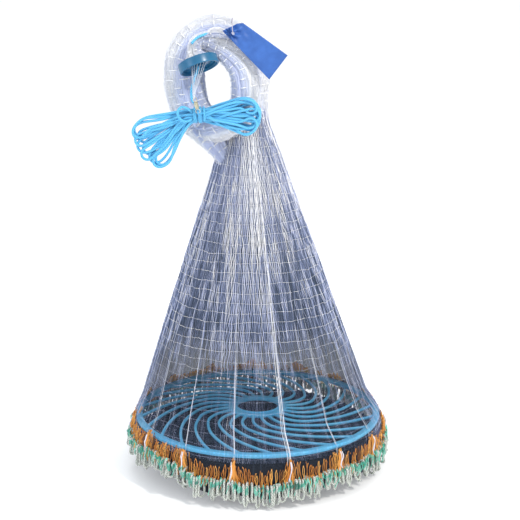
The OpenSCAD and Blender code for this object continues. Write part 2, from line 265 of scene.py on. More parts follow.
def film_material(name, stops, scale, see_through=False):
    """The closed meshes of the inner folds, too fine to show one by one: streaks along the netting, with light and
    shade painted into their colour.
    """
    n = Nodes(name, stops[0][1], 0.6, specular=0.2)
    n.set("Sheen Weight", 0.9 if see_through else 0.15)
    n.set("Sheen Roughness", 0.35)
    n.set("Sheen Tint", (0.50, 0.57, 1.0, 1))
    attribute = n.add("ShaderNodeAttribute", attribute_name="shade")
    streaks = n.noise(n.coords("UV", scale), 1.0, 4)
    wide = n.noise(n.coords("UV", (scale[0] * 0.12, scale[1] * 0.5, 1)), 1.0, 2)
    mixed = n.math("ADD", n.math("MULTIPLY", streaks, 0.6), n.math("MULTIPLY", wide, 0.4))
    if see_through:
        n.link(attribute.outputs["Fac"], n.shader.inputs["Alpha"])
        n.mat.surface_render_method = "BLENDED"
        split = n.add("ShaderNodeSeparateXYZ")
        n.link(n.add("ShaderNodeTexCoord").outputs["UV"], split.inputs[0])
        tall = split.outputs[1]
        # Painted shade: the sheet darkens towards the skirt and the flap below it. Painted light: it lightens towards
        # the neck.
        mixed = n.math("SUBTRACT", mixed, n.map_range(tall, 0.55, 1.0, to_max=0.34))
        mixed = n.math("ADD", mixed, n.map_range(tall, 0.38, 0.0, to_max=0.46))
    else:
        # The shade attribute lightens or darkens the colour; on the coil it is painted light and shade.
        mixed = n.math("ADD", mixed, n.math("MULTIPLY", n.math("SUBTRACT", attribute.outputs["Fac"], 0.5), 0.8))
    n.colour(n.ramp(mixed, stops))
    n.bump(streaks, 0.5, 0.001)
    return n.mat


def rope_material(name, dark, light, pitch, sides=8, rough=0.55):
    """Braided cord: two crossing helices of yarn, from the tube's own length and turn. Its dark colour is painted
    shade in the grooves between the yarns.
    """
    n = Nodes(name, light, rough)
    uv = n.add("ShaderNodeTexCoord").outputs["UV"]
    split = n.add("ShaderNodeSeparateXYZ")
    n.link(uv, split.inputs[0])
    along = n.math("MULTIPLY", split.outputs[0], TAU / pitch)
    round_it = n.math("MULTIPLY", split.outputs[1], TAU * sides / 2)
    one = n.math("SINE", n.math("ADD", along, round_it))
    two = n.math("SINE", n.math("SUBTRACT", along, round_it))
    braid = n.math("MAXIMUM", one, two)
    fac = n.math("MULTIPLY", n.math("ADD", braid, 1.0), 0.5)
    drift = n.noise(n.coords(), 90)
    shade = n.math("MULTIPLY", fac, n.math("ADD", drift, 0.45))
    # Painted shade: the colour runs from dark in the grooves between the yarns to the cord's own colour on the yarns.
    n.colour(n.ramp(shade, [(0.1, dark), (0.75, light)]))
    n.bump(fac, 0.6, 0.0006)
    n.set("Sheen Weight", 0.3)
    n.set("Sheen Roughness", 0.4)
    return n.mat


def plastic_material(name, base, light, rough=0.3):
    """Moulded plastic with a faint mottle and small scuffs."""
    n = Nodes(name, base, rough)
    coords = n.coords()
    mottle = n.noise(coords, 35, 5)
    fine = n.noise(coords, 900, 2)
    n.colour(n.ramp(mottle, [(0.3, base), (0.75, light)]))
    n.roughness(n.noise(coords, 140, 6), rough - 0.08, rough + 0.2)
    n.bump(fine, 0.12, 0.0002)
    return n.mat


def metal_material(name, base, rough):
    n = Nodes(name, base, rough, metallic=1.0)
    coords = n.coords()
    wear = n.noise(coords, 500, 5)
    n.colour(n.ramp(wear, [(0.3, tuple(0.6 * c for c in base)), (0.6, base)]))
    n.roughness(wear, rough + 0.15, rough)
    return n.mat


def card_material(name):
    n = Nodes(name, (0.07, 0.24, 0.72), 0.45)
    coords = n.coords()
    mottle = n.noise(coords, 60, 6)
    scuff = n.noise(coords, 400, 4)
    n.colour(n.ramp(mottle, [(0.3, (0.022, 0.092, 0.34)), (0.7, (0.036, 0.132, 0.45))]))
    n.roughness(scuff, 0.35, 0.6)
    n.bump(n.noise(coords, 1500, 2), 0.15, 0.0001)
    return n.mat


# ---------------------------------------------------------------- mesh helpers
def unit(v):
    return v / np.maximum(np.linalg.norm(v, axis=-1, keepdims=True), 1e-12)


def lengths(path):
    """How far along the path each of its points lies."""
    return np.concatenate([[0], np.cumsum(np.linalg.norm(np.diff(path, axis=0), axis=1))])


def carried(tangent, first):
    """A normal for each tangent, carried along without twist."""
    normals = np.empty_like(tangent)
    v = np.asarray(first, float)
    for i, t in enumerate(tangent):
        v = v - (v @ t) * t
        v = v / max(1e-12, math.sqrt(v @ v))
        normals[i] = v
    return normals


def grid_faces(rows, columns, flip=False, wrap_rows=False, wrap_columns=True):
    """The quads over a grid of points, which can close on itself either way."""
    i, k = np.meshgrid(np.arange(rows - (not wrap_rows)), np.arange(columns - (not wrap_columns)), indexing="ij")
    i2, k2 = (i + 1) % rows, (k + 1) % columns
    corners = [i * columns + k, i * columns + k2, i2 * columns + k2, i2 * columns + k]
    return np.stack(corners[:1] + corners[:0:-1] if flip else corners, axis=-1).reshape(-1, 4)


def circle(turn):
    """Cosine and sine, as columns."""
    return np.stack([np.cos(turn), np.sin(turn)], axis=-1)


def spline(points, n):
    """Catmull-Rom spline through the points, n samples to a span."""
    p = np.asarray(points, float)
    at = lambda i: p[min(len(p) - 1, max(0, i))]
    out = []
    for i in range(len(p) - 1):
        a, b, c, d = at(i - 1), at(i), at(i + 1), at(i + 2)
        for t in np.arange(n) / n:
            out.append(0.5 * (2 * b + (c - a) * t + (2 * a - 5 * b + 4 * c - d) * t * t
                              + (3 * b - a - 3 * c + d) * t ** 3))
    out.append(p[-1])
    return np.array(out)


def resample(path, step):
    """The same path with points an even step apart."""
    path = np.asarray(path, float)
    length = lengths(path)
    count = max(2, int(round(length[-1] / step)) + 1)
    at = np.linspace(0, length[-1], count)
    return np.stack([np.interp(at, length, path[:, k]) for k in range(path.shape[1])], axis=1)


class Soup:
    """Collects quads and triangles of many small shapes into one mesh."""

    def __init__(self):
        self.verts, self.quads, self.tris, self.shade, self.uvs = [], [], [], [], []
        self.count = 0

    def add(self, verts, quads=None, tris=None, shade=0.5, uv=None):
        verts = np.asarray(verts, float).reshape(-1, 3)
        if quads is not None and len(quads):
            self.quads.append(np.asarray(quads).reshape(-1, 4) + self.count)
        if tris is not None and len(tris):
            self.tris.append(np.asarray(tris).reshape(-1, 3) + self.count)
        self.verts.append(verts)
        self.shade.append(np.broadcast_to(np.asarray(shade, float), (len(verts),)).copy())
        self.uvs.append(np.zeros((len(verts), 2)) if uv is None else np.asarray(uv, float).reshape(-1, 2))
        self.count += len(verts)

    def tube(self, path, radius, sides=6, shade=0.5, caps=True):
        """A tube along a path."""
        path = np.asarray(path, float)
        n = len(path)
        radius = np.broadcast_to(np.asarray(radius, float), (n,))
        tangent = unit(np.gradient(path, axis=0))
        first = np.array([0.1, 1, 0.2])
        if abs(first @ tangent[0]) > 0.95 * np.linalg.norm(first):
            first = np.array([1.0, 0.2, 0.1])
        normals = carried(tangent, first)
        binormals = np.cross(tangent, normals)
        turn = np.arange(sides) * TAU / sides
        rings = (path[:, None] + radius[:, None, None] * (
            np.cos(turn)[None, :, None] * normals[:, None] + np.sin(turn)[None, :, None] * binormals[:, None]))
        uv = np.stack([np.repeat(lengths(path), sides), np.tile(np.arange(sides) / sides, n)], axis=1)
        tris = None
        if caps and sides > 3:
            fan = [(0, j + 1, j) for j in range(1, sides - 1)]
            end = (n - 1) * sides
            tris = fan + [(end, end + j, end + j + 1) for j in range(1, sides - 1)]
        self.add(rings, grid_faces(n, sides), tris, np.repeat(np.broadcast_to(shade, (n,)), sides), uv)

    def threads(self, paths, radius, normals, shade):
        """Many three-sided threads with the same number of points: paths and normals are (count, points, 3)."""
        count, n = paths.shape[:2]
        tangent = unit(np.gradient(paths, axis=1))
        normals = unit(normals - np.sum(normals * tangent, axis=2, keepdims=True) * tangent)
        side = np.cross(tangent, normals)
        turn = np.radians([90, 210, 330])
        radius = np.broadcast_to(radius, (count, n))
        rings = paths[:, :, None] + radius[:, :, None, None] * (
            np.sin(turn)[None, None, :, None] * normals[:, :, None]
            + np.cos(turn)[None, None, :, None] * side[:, :, None])
        quads = grid_faces(n, 3, flip=True)[None] + (np.arange(count) * n * 3)[:, None, None]
        shade = np.broadcast_to(np.asarray(shade, float).reshape(count, -1), (count, n))
        self.add(rings, quads, None, np.repeat(shade.reshape(-1), 3))

    def knots(self, centres, along, across, out, size, shade=0.9):
        """Small double pyramids: half sizes along, across and out."""
        centres = centres.reshape(-1, 3)
        m = len(centres)
        axes = [unit(a.reshape(-1, 3)) * s for a, s in zip((along, across, out), size)]
        verts = np.stack([centres + axes[0], centres - axes[0], centres + axes[1], centres - axes[1],
                          centres + axes[2], centres - axes[2]], axis=1)
        faces = np.array([(0, 2, 4), (2, 1, 4), (1, 3, 4), (3, 0, 4), (2, 0, 5), (1, 2, 5), (3, 1, 5), (0, 3, 5)])
        tris = (np.arange(m) * 6)[:, None, None] + faces[None]
        self.add(verts, None, tris, shade)

    def mesh(self, name):
        verts = np.concatenate(self.verts)
        quads = np.concatenate(self.quads) if self.quads else np.zeros((0, 4), int)
        tris = np.concatenate(self.tris) if self.tris else np.zeros((0, 3), int)
        mesh = bpy.data.meshes.new(name)
        mesh.vertices.add(len(verts))
        mesh.vertices.foreach_set("co", verts.ravel())
        loops = np.concatenate([quads.ravel(), tris.ravel()])
        mesh.loops.add(len(loops))
        mesh.loops.foreach_set("vertex_index", loops.astype(np.int32))
        starts = np.concatenate([np.arange(len(quads)) * 4, len(quads) * 4 + np.arange(len(tris)) * 3])
        mesh.polygons.add(len(starts))
        mesh.polygons.foreach_set("loop_start", starts.astype(np.int32))
        mesh.update(calc_edges=True)
        mesh.polygons.foreach_set("use_smooth", np.ones(len(starts), bool))
        shade = mesh.attributes.new("shade", "FLOAT", "POINT")
        shade.data.foreach_set("value", np.concatenate(self.shade).astype(np.float32))
        uv = mesh.uv_layers.new(name="UVMap")
        uv.data.foreach_set("uv", np.concatenate(self.uvs)[loops].astype(np.float32).ravel())
        mesh.validate()
        return mesh


def piece(name, soup, look, body, replaces):
    """Puts a mesh into the scene: its material, the body it rides on and the CAD nodes it stands for."""
    mesh = soup.mesh(name) if isinstance(soup, Soup) else soup
    mesh.materials.append(MAT[look])
    obj = bpy.data.objects.new(name, mesh)
    scene.collection.objects.link(obj)
    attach(obj, body)
    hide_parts(*replaces)
    return obj


def waves(angle, counts, sizes, phases):
    return sum(s * np.sin(c * angle + p) for c, s, p in zip(counts, sizes, phases))


def smooth_step(x, low, high):
    t = np.clip((x - low) / (high - low), 0, 1)
    return t * t * (3 - 2 * t)


# ---------------------------------------------------------------- materials used
MAT = {
    "netting": strand_material("netting", [(0.0, (0.05, 0.08, 0.13)), (0.3, (0.20, 0.26, 0.45)),
                                           (0.65, (0.56, 0.61, 0.83)), (1.0, (0.98, 0.96, 0.93))], sheen=0.7),
    # The sheet's dark slate colours are partly painted shade: the inside of the net in shadow.
    "film": film_material("netting_film", [(0.22, (0.008, 0.012, 0.020)), (0.5, (0.050, 0.068, 0.105)),
                                           (0.70, (0.17, 0.20, 0.31))], (420, 7, 1), True),
    "bundle": film_material("netting_bundle", [(0.25, (0.52, 0.58, 0.86)), (0.5, (0.72, 0.78, 0.97)),
                                               (0.85, (0.99, 0.99, 0.99))], (90, 30, 1)),
    # Painted shade: the pocket's near-black colours stand for the dark inside of the net under the disc.
    "pocket": film_material("painted_shade_pocket", [(0.3, (0.005, 0.008, 0.012)), (0.55, (0.028, 0.042, 0.060)),
                                               (0.75, (0.15, 0.18, 0.24))], (300, 5, 1)),
    "ring": strand_material("ring_strands", [(0.0, (0.44, 0.50, 0.74)), (0.5, (0.74, 0.80, 0.97)),
                                             (0.9, (0.99, 0.99, 0.99))]),
    "white": strand_material("netting_white", [(0.0, (0.36, 0.40, 0.56)), (0.5, (0.72, 0.75, 0.88)),
                                               (1.0, (0.97, 0.97, 0.98))]),
    "orange": strand_material("orange_twine", [(0.0, (0.13, 0.05, 0.015)), (0.5, (0.68, 0.24, 0.03)),
                                               (1.0, (0.98, 0.52, 0.13))], 0.6),
    "teal": strand_material("teal_twine", [(0.0, (0.01, 0.11, 0.08)), (0.5, (0.05, 0.42, 0.31)),
                                           (1.0, (0.30, 0.80, 0.64))], 0.6),
    # The first, dark colour of each rope is painted shade in the grooves of its braid.
    "lead": rope_material("lead_rope", (0.015, 0.018, 0.016), (0.64, 0.67, 0.61), 0.006, rough=0.6),
    "tie": strand_material("tie_twine", [(0.0, (0.25, 0.22, 0.26)), (0.5, (0.46, 0.43, 0.50)),
                                         (1.0, (0.70, 0.68, 0.75))], 0.7),
    "rope": rope_material("hand_line", (0.002, 0.14, 0.44), (0.13, 0.56, 0.86), 0.005),
    "disc": plastic_material("disc_plastic", (0.09, 0.46, 0.80), (0.155, 0.57, 0.85), 0.3),
    "collar": plastic_material("collar_plastic", (0.008, 0.10, 0.21), (0.018, 0.16, 0.31), 0.26),
    "tag": card_material("tag_card"),
    "wire": metal_material("eye_wire", (0.80, 0.76, 0.64), 0.28),
    "brass": metal_material("barrel_brass", (0.70, 0.64, 0.46), 0.3),
    "leader": strand_material("leader", [(0.0, (0.55, 0.60, 0.68)), (1.0, (0.90, 0.92, 0.95))], 0.15),
}


# ---------------------------------------------------------------- cords
def cord_mesh(name, path, body, nodes, d=LINE_D, look="rope", sides=10):
    soup = Soup()
    soup.tube(path, d / 2, sides)
    piece(name, soup, look, body, nodes)


def route(points, step=0.0015):
    return resample(spline(np.array(points, float) * MM, 8), step)


def inside_polygon(points, poly):
    """Signed distance from 2-D points to a polygon's edge, positive inside, and the inward direction."""
    poly = np.asarray(poly, float)
    a, b = poly, np.roll(poly, -1, axis=0)
    ab = b - a
    rel = points[:, None] - a[None]
    t = np.clip(np.sum(rel * ab[None], axis=2) / np.sum(ab * ab, axis=1)[None], 0, 1)
    gap = rel - t[:, :, None] * ab[None]
    dist = np.linalg.norm(gap, axis=2)
    rows = np.arange(len(points)), dist.argmin(axis=1)
    x, y = points[:, 0, None], points[:, 1, None]
    crossing = ((a[:, 1] > y) != (b[:, 1] > y)) & (x < ab[:, 0] * (y - a[:, 1]) / (ab[:, 1] + 1e-15) + a[:, 0])
    inside = crossing.sum(axis=1) % 2 == 1
    sign = np.where(inside, 1.0, -1.0)
    return dist[rows] * sign, unit(gap[rows]) * sign[:, None]


LEFT_LOBE = np.array([
    (-41, -72), (-56, -67), (-72, -67), (-100, -75), (-126, -85), (-143, -100), (-148, -116), (-143, -140),
    (-132, -162), (-118, -173), (-94, -176), (-77, -166), (-68, -142), (-60, -121), (-50, -106), (-41, -94),
]) * MM
RIGHT_LOBE = np.array([
    (-19, -71), (-7, -60), (20, -53), (44, -49), (60, -51), (73, -62), (79, -81), (75, -98), (60, -114),
    (39, -121), (12, -117), (-8, -106), (-19, -94),
]) * MM
WAIST = np.array((-30, -74, -82)) * MM
WAIST_L, WAIST_R = 0.019, 0.014
HANK_TURNS = 12
# Each lobe: outline, its edges as angles from the waist, reach, side, depth and step of its layers, front and back
LOBES = (
    (LEFT_LOBE, math.radians(184), math.radians(244), 0.119, -1, -0.069, 0.0046, -0.077, -0.061),
    (RIGHT_LOBE, math.radians(26), math.radians(-25), 0.108, 1, -0.085, 0.0060, -0.096, -0.074),
)
# The loops of each lobe: middle and width as shares of the fan, how far each reaches, and its layer
LOOPS = (
    ((0.12, 0.22, 1.00, -1), (0.36, 0.24, 0.97, -1), (0.62, 0.25, 1.00, -1), (0.88, 0.22, 1.00, -1),
     (0.22, 0.28, 0.98, 0), (0.48, 0.30, 1.00, 0), (0.74, 0.28, 0.97, 0), (0.84, 0.30, 0.93, 0),
     (0.17, 0.32, 0.95, 1), (0.33, 0.26, 0.92, 1), (0.56, 0.32, 0.95, 1), (0.80, 0.36, 0.98, 1)),
    ((0.16, 0.30, 0.97, -1), (0.48, 0.34, 0.93, -1), (0.84, 0.30, 0.97, -1), (0.66, 0.26, 0.88, -1),
     (0.50, 0.98, 1.00, 0), (0.30, 0.32, 0.94, 0), (0.66, 0.34, 0.97, 0), (0.86, 0.27, 0.90, 0),
     (0.22, 0.38, 0.92, 1), (0.42, 0.30, 0.97, 1), (0.60, 0.36, 0.92, 1), (0.50, 0.76, 0.97, 1)),
)


def hank_route():
    """Twelve turns of line, tied in the middle: three layers of loops, fanned out in each lobe."""
    pack = []
    for ring, count in ((0.0017, 3), (0.0052, 9), (0.0088, 12)):
        pack += list(ring * circle(TAU * (np.arange(count) + 0.5 * (count % 2)) / count))
    pack = np.array(pack)
    pack = pack[np.argsort(pack[:, 1] + 0.3 * pack[:, 0])]
    draw = np.random.default_rng(5)
    orders = [draw.permutation(HANK_TURNS) for _ in LOBES]
    points = []
    for turn in range(HANK_TURNS):
        for index, (_, low, high, reach, sign, middle_y, layer_gap, _, _) in enumerate(LOBES):
            centre = np.array([WAIST[0] + sign * WAIST_L / 2, WAIST[2]])
            place, width, far, layer = LOOPS[index][orders[index][turn]]
            edges = low + (high - low) * np.clip([place - width / 2, place + width / 2], 0, 1)
            going, coming = edges[::-sign]
            depth = middle_y + layer_gap * (layer + draw.uniform(-0.2, 0.2))
            bight = reach * far * abs(edges[1] - edges[0]) / 2
            neck = reach * far - bight
            leg, turned = np.arange(7)[:, None] / 6, math.pi * np.arange(1, 8)[:, None] / 8
            start, stop = neck * circle(going), neck * circle(coming)
            end = start + (stop - start) * (1 - np.cos(turned)) / 2 + circle(edges.mean()) * bight * np.sin(turned)
            loop = centre + np.concatenate([leg * start, end, leg[::-1] * stop])
            step = np.arange(len(loop))
            root = np.clip(1 - np.minimum(step, step[::-1]) / 6, 0, 1)
            slots = pack[(2 * turn + index) % len(pack)], pack[(2 * turn + index + 12) % len(pack)]
            offsets = np.where((step < len(loop) / 2)[:, None], *slots)
            y = depth * (1 - root) + (WAIST[1] + offsets[:, 0]) * root
            points.append(np.stack([loop[:, 0], y, loop[:, 1] + offsets[:, 1] * root], axis=1))
    return resample(spline(np.concatenate(points), 3), 0.0040)


def open_bends(p, step, least):
    """Pushes the two sides of each tight turn apart, until it is as round as a limp line makes it."""
    for k in range(1, int(1.25 * least / step) + 1):
        gap = p[2 * k:] - p[:-2 * k]
        length = np.linalg.norm(gap, axis=1)
        short = np.clip(2 * least * math.sin(k * step / least) - length, 0, None)
        move = (0.20 * short / np.maximum(length, 1e-9))[:, None] * gap
        p[2 * k:] += move
        p[:-2 * k] -= move


def relax_hank(path, rounds):
    """Keeps the line's step length, smooths it, pushes turns one diameter apart and holds them in the lobes."""
    p = path.copy()
    n = len(p)
    rest = np.linalg.norm(np.diff(p, axis=0), axis=1)
    index = np.arange(n)
    for step in range(rounds):
        for start in (0, 1):
            i = index[start:n - 1:2]
            gap = p[i + 1] - p[i]
            length = np.linalg.norm(gap, axis=1)
            fix = (0.5 * (length - rest[i]) / length)[:, None] * gap
            p[i] += fix
            p[i + 1] -= fix
        middle = 0.5 * (p[:-2] + p[2:])
        p[1:-1] += 0.13 * (middle - p[1:-1])
        open_bends(p, 0.0040, 2.3 * LINE_D)
        if step % 2 == 0:
            gap = p[:, None] - p[None]
            dist = np.sqrt(np.sum(gap * gap, axis=2)) + 1e-9
            want = LINE_D * 0.97
            apart = np.abs(index[:, None] - index[None]) > 3
            push = np.where(apart & (dist < want), 0.5 * (want - dist) / dist, 0)
            count = np.maximum(1, (push > 0).sum(axis=1))[:, None]
            p += np.sum(gap * push[:, :, None], axis=1) * (1.4 / np.sqrt(count))
        for outline, _, _, _, sign, _, _, front, back in LOBES:
            mine = (p[:, 0] < WAIST[0]) if sign < 0 else (p[:, 0] >= WAIST[0])
            out = mine & (np.abs(p[:, 0] - WAIST[0]) > WAIST_L / 2)
            pts = p[out][:, [0, 2]]
            depth, inward = inside_polygon(pts, outline)
            short = np.clip(LINE_D / 2 - depth, 0, None)[:, None] * inward
            p[out, 0] += 0.7 * short[:, 0]
            p[out, 2] += 0.7 * short[:, 1]
            fade = smooth_step(np.abs(p[out, 0] - WAIST[0]), WAIST_L / 2, WAIST_L / 2 + 0.03)
            lo = (WAIST[1] - WAIST_R) * (1 - fade) + (front + LINE_D / 2) * fade
            hi = (WAIST[1] + WAIST_R) * (1 - fade) + (back - LINE_D / 2) * fade
            p[out, 1] = np.clip(p[out, 1], lo, hi)
        inner = np.abs(p[:, 0] - WAIST[0]) <= WAIST_L / 2 + 0.001
        offset = p[inner][:, 1:] - WAIST[None, 1:]
        r = np.linalg.norm(offset, axis=1, keepdims=True)
        room = WAIST_R - LINE_D * 1.02
        p[inner, 1:] = WAIST[None, 1:] + offset * np.minimum(1, room / np.maximum(r, 1e-9))
    return p


def make_cords():
    path = relax_hank(hank_route(), 260)
    path = resample(spline(path, 2), 0.0022)
    for _ in range(60):
        path[1:-1] += 0.25 * (path[:-2] + path[2:] - 2 * path[1:-1])
        open_bends(path, 0.0022, 2.2 * LINE_D)
    path = resample(path, 0.0022)
    cord_mesh("hank", path, "hank", ("hand_line_hank_left", "hand_line_hank_right"))
    turns, r = 4.3, WAIST_R - LINE_D / 2 + 0.0006
    t = np.linspace(0, 1, 150)
    angle = TAU * turns * t + 2.0
    wrap = np.stack([WAIST[0] + (t - 0.5) * (WAIST_L - 0.001) + 0.0012 * np.sin(angle * 0.5),
                     WAIST[1] + r * np.cos(angle), WAIST[2] + r * np.sin(angle)], axis=1)
    cord_mesh("waist_wrap", wrap, "hank", ("hand_line_waist_wrap",))
    cord_mesh("bow", route(BOW_ROUTE), "hank", ("hand_line_bow",))
    cord_mesh("line_lead", route(LEAD_ROUTE), "net", ("hand_line_lead",))
    cord_mesh("line_arc", route(ARC_ROUTE), "net", ("hand_line_arc",))
    cord_mesh("tag_twine", route(TIE_ROUTE, 0.001), "net", ("tag_tie",), 1.4 * MM, "tie", 8)


# ---------------------------------------------------------------- netting cone
WARP = ((31, 53, 97, 7), (0.0060, 0.0050, 0.0030, 0.010), rng.uniform(0, TAU, 4))
PLEAT = ((19, 37, 61, 89), (0.8, 0.7, 0.5, 0.3), rng.uniform(0, TAU, 4))
ROWS = ((3, 8, 17, 41), (1.2, 0.8, 0.5, 0.25), rng.uniform(0, TAU, 4))


class Field:
    """Smooth random values over the net, by angle and height."""

    def __init__(self, seed, around, tall):
        self.grid = np.random.default_rng(seed).random((around, tall))
        self.around, self.tall = around, tall

    def __call__(self, angle, z):
        a = (angle / TAU % 1) * self.around
        h = np.clip((-0.07 - z) / 0.60, 0, 0.999) * (self.tall - 1)
        i, j = a.astype(int) % self.around, h.astype(int)
        f, g = a % 1, h % 1
        f, g = f * f * (3 - 2 * f), g * g * (3 - 2 * g)
        i2 = (i + 1) % self.around
        grid = self.grid
        lower = grid[i, j] * (1 - f) + grid[i2, j] * f
        upper = grid[i, j + 1] * (1 - f) + grid[i2, j + 1] * f
        return lower * (1 - g) + upper * g


STREAKS, CLUMPS, PATCHES = Field(1, 430, 26), Field(2, 96, 12), Field(3, 26, 6)


def brightness(angle, z):
    """Where the folds catch the light: streaks along the netting, in broader clumps."""
    value = 0.46 * STREAKS(angle, z) + 0.32 * CLUMPS(angle, z) + 0.22 * PATCHES(angle, z)
    return smooth_step(value, 0.28, 0.72)


def gleam(angle):
    """Painted highlight: broad sunlit parts of the gathered neck, 0 to 1."""
    return sum(np.exp(-((np.angle(np.exp(1j * (angle - a)))) / 0.42) ** 2) for a in (-1.5, 0.6, 2.6))


def profile(z):
    """Centre x, centre y and radius of the netting at height z."""
    order = NET_PROFILE[::-1]
    return [np.interp(z, order[:, 0], order[:, k]) for k in (1, 2, 3)]


def net_point(angle, z, out):
    """A point of the netting: pleated, and bunched into folds."""
    x, y, r = profile(z)
    loose = smooth_step(z, -0.645, -0.56) * (0.5 + 0.5 * smooth_step(-z, 0.1, 0.3))
    depth = MM * waves(angle + 0.25 * np.sin(9 * z), *PLEAT) * (0.25 + 0.9 * loose)
    turned = angle + waves(angle, *WARP) * (0.4 + 0.6 * loose)
    radius = r + out + depth
    return np.stack([x + radius * np.cos(turned), y + radius * np.sin(turned), z], axis=-1), \
        np.stack([np.cos(turned), np.sin(turned), 0 * turned], axis=-1)


ROW_GAP = 0.0162
ROWS_DOWN = 36


def row_height(index, angle):
    """Height of a knot row: it wanders a little, and rides higher at the front and back than at the sides."""
    z = NECK_Z - 0.002 - ROW_GAP * index
    r = profile(z)[2]
    lift = 0.035 * r * np.sin(angle) ** 2 * smooth_step(z, -0.65, -0.54)
    return z + lift + MM * waves(angle + 0.3 * index, *ROWS)


def netting_panel(number):
    """Threads of one panel, knotted to each other in rows. They end at the seams as the panel narrows."""
    middle = FIRST_SEAM + STEP * (number + 0.5)
    half = STEP / 2 * 0.99
    draw = np.random.default_rng(100 + number)
    threads = Soup()
    rows = np.arange(-3, ROWS_DOWN)
    gap, out = 0.00150, 0.0016
    count = int(0.230 * half * 2 / gap) // 2 * 2
    for j, offset in enumerate((np.arange(count) - (count - 1) / 2) * gap):
        z0 = NECK_Z - ROW_GAP * rows
        z = row_height(rows, middle + np.clip(offset / profile(z0)[2], -half, half))
        keep = (z < TOP_Z) & (z > SKIRT_Z - 0.003)
        z, index = z[keep], rows[keep]
        r = profile(z)[2] + out
        if r[-1] * half <= abs(offset):
            continue
        start = int(np.argmax(r * half > abs(offset)))
        z, index = np.append(z[start:], SKIRT_Z - 0.004), np.append(index[start:], ROWS_DOWN)
        if len(z) < 3:
            continue
        wiggle = (1 if j % 2 else -1) * (1 - 2 * (index % 2)) * gap * 0.40
        lateral = offset + wiggle + draw.normal(0, 0.00012, len(z))
        zz, ll = np.empty(len(z) * 2 - 1), np.empty(len(z) * 2 - 1)
        zz[::2], zz[1::2] = z, (z[1:] + z[:-1]) / 2
        ll[::2], ll[1::2] = lateral, (lateral[1:] + lateral[:-1]) / 2 + draw.normal(0, 0.00030, len(z) - 1)
        angle = middle + np.clip(ll / (profile(zz)[2] + out), -half, half)
        pts, normal = net_point(angle, zz, out + draw.normal(0, 0.0003, len(zz)))
        # Painted light and shade in the threads' colour: light where the folds catch the light, more light towards
        # the neck and in its broad sunlit parts, and painted shade towards the bottom.
        light = brightness(angle, zz)
        high = smooth_step(zz, -0.46, -0.15)
        low = smooth_step(-zz, 0.46, 0.55)
        shine = gleam(angle)
        thick = MM * (0.17 + 0.26 * light + 0.12 * high + 0.25 * high * shine) * (1 - 0.72 * low) \
            * (1 + 0.2 * draw.normal())
        shade = 0.13 + 0.58 * light ** 1.3 - 0.10 * low + high * (0.30 + 0.75 * shine) + draw.normal(0, 0.13)
        shade = np.clip(shade, 0.02, 1)
        threads.threads(pts[None], np.maximum(thick, 0.00006)[None], normal[None], shade[None])
    for index in rows:
        z0 = NECK_Z - ROW_GAP * index
        if z0 < SKIRT_Z + 0.004 or z0 > TOP_Z - 0.012:
            continue
        r = profile(z0)[2] + 0.0022
        span = np.arange(-r * half, r * half, 0.00150)
        angle = middle + span / r
        z = row_height(index, angle) + draw.normal(0, 0.00018, len(angle))
        pts, normal = net_point(angle, z, 0.0026)
        if len(pts) < 2:
            continue
        along = np.gradient(pts, axis=0)
        up = np.cross(normal, along)
        keep = draw.random(len(pts)) < 0.95
        # Towards the bottom the knots get smaller, and darker in painted shade.
        small = 1 - 0.35 * smooth_step(-z0, 0.45, 0.54)
        threads.knots(pts[keep], along[keep], up[keep], normal[keep], np.array((0.96, 0.50, 0.46)) * MM * small,
                      1.0 - 0.35 * smooth_step(-z0, 0.48, 0.60))
    return threads


def netting_film():
    """The inner folds as one continuous pleated sheet, all round the cone, over the rim and down to the hem; and a
    near-black pocket sheet across the inside below the disc, whose colour is painted shade.
    """
    soup, under = Soup(), Soup()
    around = 720
    angle = np.linspace(0, TAU, around, endpoint=False)
    z = np.concatenate([np.linspace(TOP_Z - 0.004, -0.600, 54), np.linspace(-0.606, SKIRT_Z, 12),
                        np.linspace(SKIRT_Z - 0.006, FLAP_Z, 9)])
    a, zz = np.meshgrid(angle, z, indexing="xy")
    fold = 0.0011 * np.sin(180 * a + 2 * np.sin(7 * zz)) * (0.3 + 0.7 * smooth_step(zz, -0.65, -0.5))
    pts, _ = net_point(a, zz, 0.0002 + fold)
    pts[..., 2] += 0.8 * hem_lift(a) * smooth_step(-zz, 0.660, 0.716)
    # The pocket below the disc: its near-black colour is painted shade.
    inward = np.linspace(0, 1, 14)[:, None]
    r = 0.224 - 0.216 * inward
    sag = 0.0015 * np.sin(90 * angle + 5 * inward) * (1 - inward)
    height = (-0.700 + 0.5 * hem_lift(angle)) * (1 - inward) - 0.690 * inward + sag
    pocket = np.stack([DISC[0] + r * np.cos(angle), DISC[1] + r * np.sin(angle), height], axis=-1)
    deep, back = -zz, np.sin(a)
    in_front_of_disc = smooth_step(deep, 0.440, 0.505) * (1 - smooth_step(deep, 0.650, 0.660)) \
        * (0.10 + 0.90 * smooth_step(-back, -0.35, 0.15))
    behind_rim = smooth_step(deep, 0.648, 0.654) * smooth_step(back, 0.0, 0.4)
    high_behind = smooth_step(back, 0.1, 0.5) * smooth_step(deep, 0.16, 0.24) * (1 - smooth_step(deep, 0.40, 0.46))
    cover = 0.94 - 0.80 * in_front_of_disc - 0.72 * behind_rim - 0.40 * high_behind
    tall = (NECK_Z - np.concatenate([zz, np.full(pocket.shape[:2], FLAP_Z)])) / (NECK_Z - SKIRT_Z)
    for made, grid, alpha, up in ((soup, pts, cover, tall[:len(z)]),
                                  (under, pocket, np.full(pocket.shape[:2], 0.5), tall[len(z):] + inward)):
        uv = np.stack([np.broadcast_to(angle / TAU, up.shape), up], axis=-1)
        made.add(grid, grid_faces(len(grid), around, flip=True), None, alpha.reshape(-1), uv)
    return soup, under


